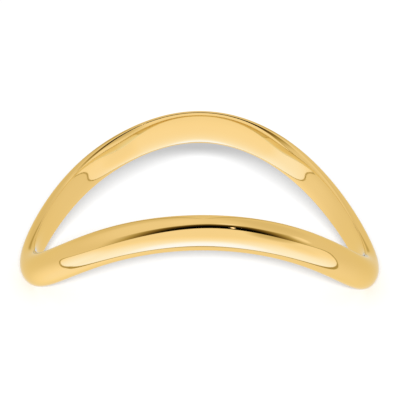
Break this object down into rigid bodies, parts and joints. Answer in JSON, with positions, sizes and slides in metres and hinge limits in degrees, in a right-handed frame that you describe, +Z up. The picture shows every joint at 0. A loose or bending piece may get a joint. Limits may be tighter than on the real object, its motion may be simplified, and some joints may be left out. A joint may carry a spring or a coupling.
{
  "type": "wave thumb ring",
  "caption": "Plain polished gold thumb ring: a closed band with a domed outside and a gently rounded inside that rises and falls in a wave, with two crests and two troughs.",
  "frame": {"origin": "on the axis of the finger hole, at the level of the surface that the ring stands on, which its two troughs touch", "axes": "+Z up along the axis of the finger hole; the crests are at the front (-Y) and the back (+Y), and the troughs at the left (-X) and the right (+X)"},
  "size_m": [0.0208, 0.0208, 0.0073],
  "materials": {
    "gold": "polished"
  },
  "bodies": {
    "root": {"band": "gold"}
  },
  "joints": []
}
